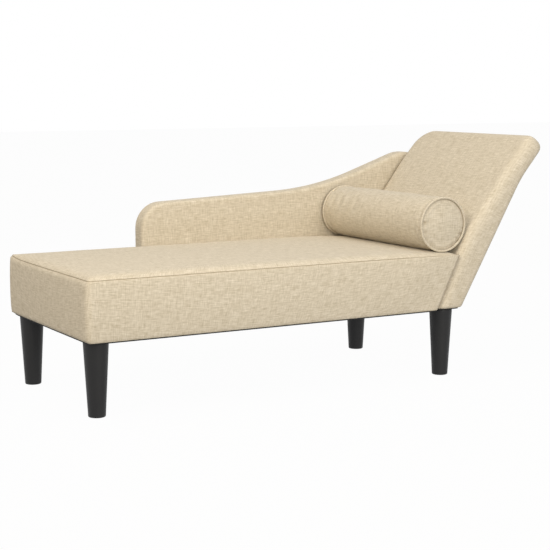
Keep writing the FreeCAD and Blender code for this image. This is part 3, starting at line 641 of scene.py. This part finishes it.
def buildPanel():
    rim = panelRim()
    outward = outwardOf(rim)
    lowZ = sizes["legHeight"]
    rising = smooth(rim[:, 1], lowZ, lowZ + panel["rollFade"])
    radius = panel["lowRoll"] + (panel["roll"] - panel["lowRoll"]) * rising

    def outlineAt(share, extra=0.0):
        return rim - outward * (share * radius + extra)[:, None]

    loops = rolledLoops(panel, radius, outlineAt)
    points, _, faces, cloth = slab(loops, panel["along"], panel["across"],
                                   lambda q: np.full_like(q, panel["thick"]))
    x, z, d = points.T
    bare = smooth(z, *panel["bareAbove"]) * (1 - smooth(x, *panel["bareBefore"]))
    bare *= 1 - smooth(d, 0, panel["crownDepth"])
    fade = np.clip((panel["crownTop"] - z) / panel["crownFade"], 0, 1)
    y = panel["front"] + d - bare * panel["crown"] * fade
    placed = np.stack([x, y, z], 1)
    high, long, seed = panel["waves"]
    placed[:, 1] += high * ripple(placed, long, seed) * bare
    return makePiece("sidePanelPad", placed, faces, cloth, linen, rearThreadAndShade(panel, loops, len(points)))


# Thin black lining under the seat and the backrest, its turned edge just below the cloth
linings = {"top": 200.2, "corner": 8.0, "sag": 1.2, "cell": 24.0, "across": 24,
           "seatInset": 4.0, "seatLow": 195.7, "backInset": 9.0, "backLow": 197.2}


def buildLining(name, xLow, xHigh, inset, low):
    far = sizes["depth"] - inset
    path, middles = roundedPath([(xLow + inset, inset), (xHigh - inset, inset), (xHigh - inset, far),
                                 (xLow + inset, far)], [linings["corner"]] * 4)
    along = max(6, int((xHigh - xLow) / linings["cell"]))
    rim = rimOf(path, middles, along, linings["across"])
    points, bells, faces, cloth = slab([(rim, 0.0, 0.0), (rim, 1.0, 0.0)], along, linings["across"],
                                       lambda q: np.full_like(q, linings["top"] - low))
    z = low + points[:, 2] - linings["sag"] * np.clip(bells, 0, 1)
    return makePiece(name, np.stack([points[:, 0], points[:, 1], z], 1), faces, cloth, lining)


seatPiece = buildSeat()
backPiece = buildBack()
panelPiece = buildPanel()
seatLining = buildLining("seatLining", 0, sizes["seatLow"], linings["seatInset"], linings["seatLow"])
backLining = buildLining("backLining", sizes["seatLow"], sizes["seatLow"] + sizes["backBase"],
                         linings["backInset"], linings["backLow"])
print("seat, backrest and side panel done")

# Bolster: a turned cushion, filled by simulation between its two sewn rims
bolster = {"x": 1106.6, "z": 443.1, "near": 24.0, "far": 552.0, "radius": 78.2, "rim": 75.6, "dome": 10.0,
           "sink": 2.6, "round": 132, "long": 104, "rings": 18, "pinned": 6, "pipe": 3.4, "pipeOut": 1.2,
           "crowding": 1.4, "domePower": 2.6, "pinchAt": 0.87, "pinchHalf": 0.12, "pinchShade": 0.12,
           "rimShade": (0.94, 0.975),  # shares of the way from the middle of an end to its rim
           "press": 6.5, "pressAt": 328, "pressHalf": 30, "foldsAt": 158, "foldsHalf": 36,  # mm, then degrees
           "puckers": ((172, 4, 3.4), (197, 5, 2.2), (214, 5, 1.4), (232, 7, 1.6), (300, 6, 1.4),
                       (318, 5, 2.2), (334, 4, 3.0), (349, 4, 1.6), (96, 9, 0.8),
                       (42, 8, 0.9)),  # degrees round the end, half width, mm deep
           "folds": ((38, 9, 2.4), (74, 12, 4.6), (112, 13, 2.6),
                     (158, 15, 3.2)),  # mm from the far end, half width, mm deep
           "stuffing": {"steps": 20, "most": 2.0,  # mm
                        "cloth": {"quality": 4, "mass": 0.3, "tension_stiffness": 20,
                                  "compression_stiffness": 20, "bending_stiffness": 0.4, "use_pressure": True,
                                  "uniform_pressure_force": 4.0, "shrink_min": -0.015}}}


# Rings as (radius, y, seam thread and painted shade, axial move, inward move); the moves are drawn on the
# filled cloth
def bolsterRings(turns):
    near, far, rim = bolster["near"], bolster["far"], bolster["rim"]
    degrees = np.degrees(turns)
    gather = sum(deep * np.exp(-(((degrees - at + 180) % 360 - 180) / half) ** 2)
                 for at, half, deep in bolster["puckers"])
    shadow = 0.6 + 0.4 * np.cos(turns - 1.0)  # painted shade of the piping on the end, strongest towards the upper right
    disc = []
    for k in range(1, bolster["rings"] + 1):
        t = 1 - (1 - k / bolster["rings"]) ** bolster["crowding"]
        bow = (bolster["dome"] + bolster["sink"]) * (1 - t ** bolster["domePower"]) - bolster["sink"]
        pinch = gather * math.exp(-((t - bolster["pinchAt"]) / bolster["pinchHalf"]) ** 2)
        # painted shade: a dark line inside the piping and in the creases of the puckers
        threadAndShadeMark = shadow * smooth(t, *bolster["rimShade"]) + bolster["pinchShade"] * pinch
        disc.append((rim * t, bow, threadAndShadeMark, pinch))
    tube = []
    wander = 9 * np.sin(turns * 3 + 0.6) + 6 * np.sin(turns * 5)  # mm that a fold strays from a plain ring
    shown = np.exp(-((degrees - bolster["foldsAt"]) / bolster["foldsHalf"]) ** 2)
    corner = np.exp(-((degrees - bolster["pressAt"]) / bolster["pressHalf"]) ** 2)  # seat meets backrest
    for t in np.linspace(0, 1, bolster["long"] + 1):
        y = near + 1.5 + (far - near - 3) * t
        edge = min(y - near, far - y)
        swell = (bolster["radius"] - rim) * (1 - (2 * t - 1) ** 8)
        press = bolster["press"] * corner * smooth(edge, 1, 20)
        folds = sum(deep * np.exp(-((far - y - at - wander) / half) ** 2)
                    for at, half, deep in bolster["folds"])
        puckers = 0.5 * gather * math.exp(-((edge - 8) / 9) ** 2)
        # seam thread and painted shade where the tube meets each end
        tube.append((rim + swell + press, y, 0.5 * max(0.0, 1 - edge / 3.5), 0.0, folds * shown + puckers))
    return ([(r, near - bow, threadAndShadeMark, pinch, 0.0) for r, bow, threadAndShadeMark, pinch in disc] + tube
            + [(r, far + bow, threadAndShadeMark, -pinch, 0.0) for r, bow, threadAndShadeMark, pinch in disc[::-1]])


def buildBolster():
    count = bolster["round"]
    turns = np.linspace(0, 2 * math.pi, count, endpoint=False)
    rings = bolsterRings(turns)
    tube = range(bolster["rings"], bolster["rings"] + bolster["long"])
    points = np.concatenate([np.stack([bolster["x"] + r * np.cos(turns), np.full(count, y),
                                       bolster["z"] + r * np.sin(turns)], 1) for r, y, _, _, _ in rings])
    threadAndShadeMarks = np.concatenate([np.broadcast_to(threadAndShadeMark, count) for _, _, threadAndShadeMark, _, _ in rings] + [np.zeros(2)])
    faces = ringFaces(len(rings), count)
    cloth = []
    arc = 2 * math.pi * bolster["radius"] / count
    for ids in faces:
        k, i = divmod(ids[0], count)
        if k in tube:
            cloth.append([(points[n][1], (i + a) * arc) for n, a in zip(ids, (0, 1, 1, 0))])
        else:
            cloth.append([(points[n][0], points[n][2]) for n in ids])
    lastRing = (len(rings) - 1) * count
    for first, y in ((0, bolster["near"] - bolster["dome"]), (lastRing, bolster["far"] + bolster["dome"])):
        centre = len(points)
        points = np.concatenate([points, [[bolster["x"], y, bolster["z"]]]])
        for i in range(count):
            ids = [first + i, first + (i + 1) % count, centre]
            faces.append(ids)
            cloth.append([(points[n][0], points[n][2]) for n in ids])
    piece = makePiece("bolsterCushion", points, faces, cloth, linen, threadAndShadeMarks)
    held = [*range(tube[0] + 1 - bolster["pinned"], tube[0] + 1),
            *range(tube[-1] + 1, tube[-1] + 1 + bolster["pinned"])]
    inflate(piece, np.concatenate([k * count + np.arange(count) for k in held]), bolster["stuffing"])
    drawn = np.concatenate([np.stack([-inward * np.cos(turns), np.broadcast_to(axial, count),
                                      -inward * np.sin(turns)], 1) for _, _, _, axial, inward in rings])
    filled = np.empty(len(points) * 3)
    piece.data.vertices.foreach_get("co", filled)
    filled[:drawn.size] += drawn.ravel() / 1000
    piece.data.vertices.foreach_set("co", filled)
    piece.data.update()
    return piece


# Thin piping sewn into a rim, its cloth cut on the bias
def buildPiping(name, y, count=144, sides=12):
    radius, pipe = bolster["rim"] + bolster["pipeOut"], bolster["pipe"]
    step, side = 2 * math.pi * radius / count, 2 * math.pi * pipe / sides
    points, faces, cloth = [], [], []
    for i in range(count):
        a = 2 * math.pi * i / count
        for k in range(sides):
            b = 2 * math.pi * k / sides
            r = radius + pipe * math.cos(b)
            points.append((bolster["x"] + r * math.cos(a), y + pipe * math.sin(b),
                           bolster["z"] + r * math.sin(a)))
            j, m = (i + 1) % count, (k + 1) % sides
            faces.append([i * sides + k, j * sides + k, j * sides + m, i * sides + m])
            cloth.append([((i + p) * step + (k + q) * side, (k + q) * side - (i + p) * step)
                          for p, q in ((0, 0), (1, 0), (1, 1), (0, 1))])
    return makePiece(name, points, faces, cloth, linen)


bolsterPiece = buildBolster()
frontPiping = buildPiping("bolsterFrontPiping", bolster["near"])
rearPiping = buildPiping("bolsterRearPiping", bolster["far"])
print("bolster done")

# Legs: round and tapered, with a small round at the foot
leg = {"top": 33.5, "foot": 22.8, "height": 199.6, "round": 3.0, "sides": 72, "rings": 22,
       "places": {"leg_foot_front": (39, 50), "leg_foot_rear": (39, 515), "leg_head_front": (1122, 50),
                  "leg_head_rear": (1131, 515)}}


def buildLeg(name, x, y):
    foot, corner, count = leg["foot"], leg["round"], leg["sides"]
    rings = [(foot - corner - 3, 0.0), (foot - corner, 0.0)]
    for a in np.radians(np.linspace(15, 90, 6)):
        rings.append((foot - corner * (1 - math.sin(a)), corner * (1 - math.cos(a))))
    for t in np.linspace(0.04, 1, leg["rings"]):
        rings.append((foot + (leg["top"] - foot) * t, corner + (leg["height"] - corner) * t))
    rings.append((leg["top"] - 2, leg["height"]))
    turns = np.linspace(0, 2 * math.pi, count, endpoint=False)
    points = np.concatenate([np.stack([x + r * np.cos(turns), y + r * np.sin(turns), np.full(count, z)], 1)
                             for r, z in rings])
    faces = ringFaces(len(rings), count)
    for first in (0, (len(rings) - 1) * count):  # closed at the foot and the top
        faces.append([first + i for i in range(count)])
    around = [[divmod(place, count)[::-1] for place in face] for face in faces]
    return makePiece(name, points, faces, around, plastic)


legPieces = {name: buildLeg("tapered_" + name, x, y) for name, (x, y) in leg["places"].items()}
print("legs done")

# What each piece stands for
stands = [(seatPiece, "chaise", "beige_cloth", ["seat_top_cover", "seat_border_cover", "seat_foam",
                                                "seat_border_padding"]),
          (backPiece, "chaise", "beige_cloth", ["back_cover", "back_rear_panel", "back_foam"]),
          (panelPiece, "chaise", "beige_cloth", ["side_panel_inner_cover", "side_panel_outer_cover",
                                                 "side_panel_padding"]),
          (bolsterPiece, "bolster", "beige_cloth", ["bolster_filling", "bolster_tube_cover",
                                                    "bolster_front_end", "bolster_rear_end"]),
          (frontPiping, "bolster", "beige_cloth", ["bolster_front_piping"]),
          (rearPiping, "bolster", "beige_cloth", ["bolster_rear_piping"]),
          (seatLining, "chaise", "dust_cloth", ["seat_dust_cover"]),
          (backLining, "chaise", "dust_cloth", ["back_dust_cover"])]
stands += [(piece, "chaise", "black_plastic", [name]) for name, piece in legPieces.items()]
for piece, body, slotName, nodes in stands:
    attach(piece, body)
    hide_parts(*nodes)
print("pieces joined to their bodies")

# Studio: the camera and clear or glossy surfaces see white, and the object gets plain soft light
studio = {"floorSize": 40, "floorColour": "#b3b3b3", "floorWhite": 0.975, "white": "#ffffff", "sky": 0.42,
          "aim": (0, 0, 0.3),
          # Lamps: place and size in metres, watts, colour
          "lamps": {"top": ((-0.2, -0.4, 3.4), (3.0, 2.0), 31, (1, 0.945, 0.86)),
                    "side": ((-3.2, -1.4, 3.1), (2.4, 2.0), 86, (1, 0.87, 0.69)),
                    "front": ((-0.1, -4.2, 1.6), (3.0, 1.6), 100, (1, 0.952, 0.875))}}


# 1 where the camera sees it, straight or by a mirror or glass, and 0 for light that falls on the object
def whereSeen(tree):
    path = node(tree, "ShaderNodeLightPath")
    seen = path.outputs["Is Camera Ray"]
    for ray in ("Is Glossy Ray", "Is Transmission Ray"):
        seen = node(tree, "ShaderNodeMath", {0: seen, 1: path.outputs[ray]}, operation="MAXIMUM").outputs[0]
    return seen


# Matt pale paper: white to the eye, with the object's soft shadow left in it
def palePaper():
    made, tree = newMaterial("palePaper")
    share = node(tree, "ShaderNodeMath", {0: whereSeen(tree), 1: studio["floorWhite"]}, operation="MULTIPLY")
    matt = node(tree, "ShaderNodeBsdfDiffuse", {"Color": linear(studio["floorColour"])})
    glow = node(tree, "ShaderNodeEmission", {"Color": linear(studio["white"]), "Strength": 1.0})
    mixed = node(tree, "ShaderNodeMixShader", {0: share.outputs[0], 1: matt.outputs[0], 2: glow.outputs[0]})
    node(tree, "ShaderNodeOutputMaterial", {"Surface": mixed.outputs[0]})
    return made


bpy.ops.mesh.primitive_plane_add(size=studio["floorSize"], location=(0, 0, 0))
floor = bpy.context.object
floor.name = "floor"
floor.data.materials.append(palePaper())

scene.world = bpy.data.worlds.new("studio")
scene.world.use_nodes = True
skyTree = scene.world.node_tree
skyTree.nodes.clear()
strength = node(skyTree, "ShaderNodeMapRange", {0: whereSeen(skyTree), 3: studio["sky"], 4: 1.0})
sky = node(skyTree, "ShaderNodeBackground", {"Color": linear(studio["white"]),
                                             "Strength": strength.outputs[0]})
node(skyTree, "ShaderNodeOutputWorld", {"Surface": sky.outputs[0]})

for name, (place, size, power, colour) in studio["lamps"].items():
    light = bpy.data.lights.new(name, "AREA")
    light.shape = "RECTANGLE"
    light.size, light.size_y = size
    light.energy = power
    light.color = colour
    lamp = bpy.data.objects.new(name, light)
    lamp.location = place
    lamp.rotation_euler = (Vector(studio["aim"]) - Vector(place)).to_track_quat("-Z", "Y").to_euler()
    scene.collection.objects.link(lamp)

# Camera fitted to the photo: metres from the drawing's origin, mm, and degrees
photo = {"place": (-1.3315, -3.2571, 0.8491), "sensor": 36, "lens": 92.79, "yaw": 29.828, "pitch": 7.7495}
camera = bpy.data.cameras.new("photo")
camera.sensor_width = photo["sensor"]
camera.lens = photo["lens"]
view = bpy.data.objects.new("photo", camera)
yaw, pitch = math.radians(photo["yaw"]), math.radians(photo["pitch"])
ahead = Vector((math.sin(yaw) * math.cos(pitch), math.cos(yaw) * math.cos(pitch), -math.sin(pitch)))
view.location = Vector(photo["place"]) - Vector(origin / 1000)
view.rotation_mode = "QUATERNION"
view.rotation_quaternion = ahead.to_track_quat("-Z", "Y")
scene.collection.objects.link(view)
scene.camera = view
scene.view_settings.view_transform = "Standard"
print("studio done")
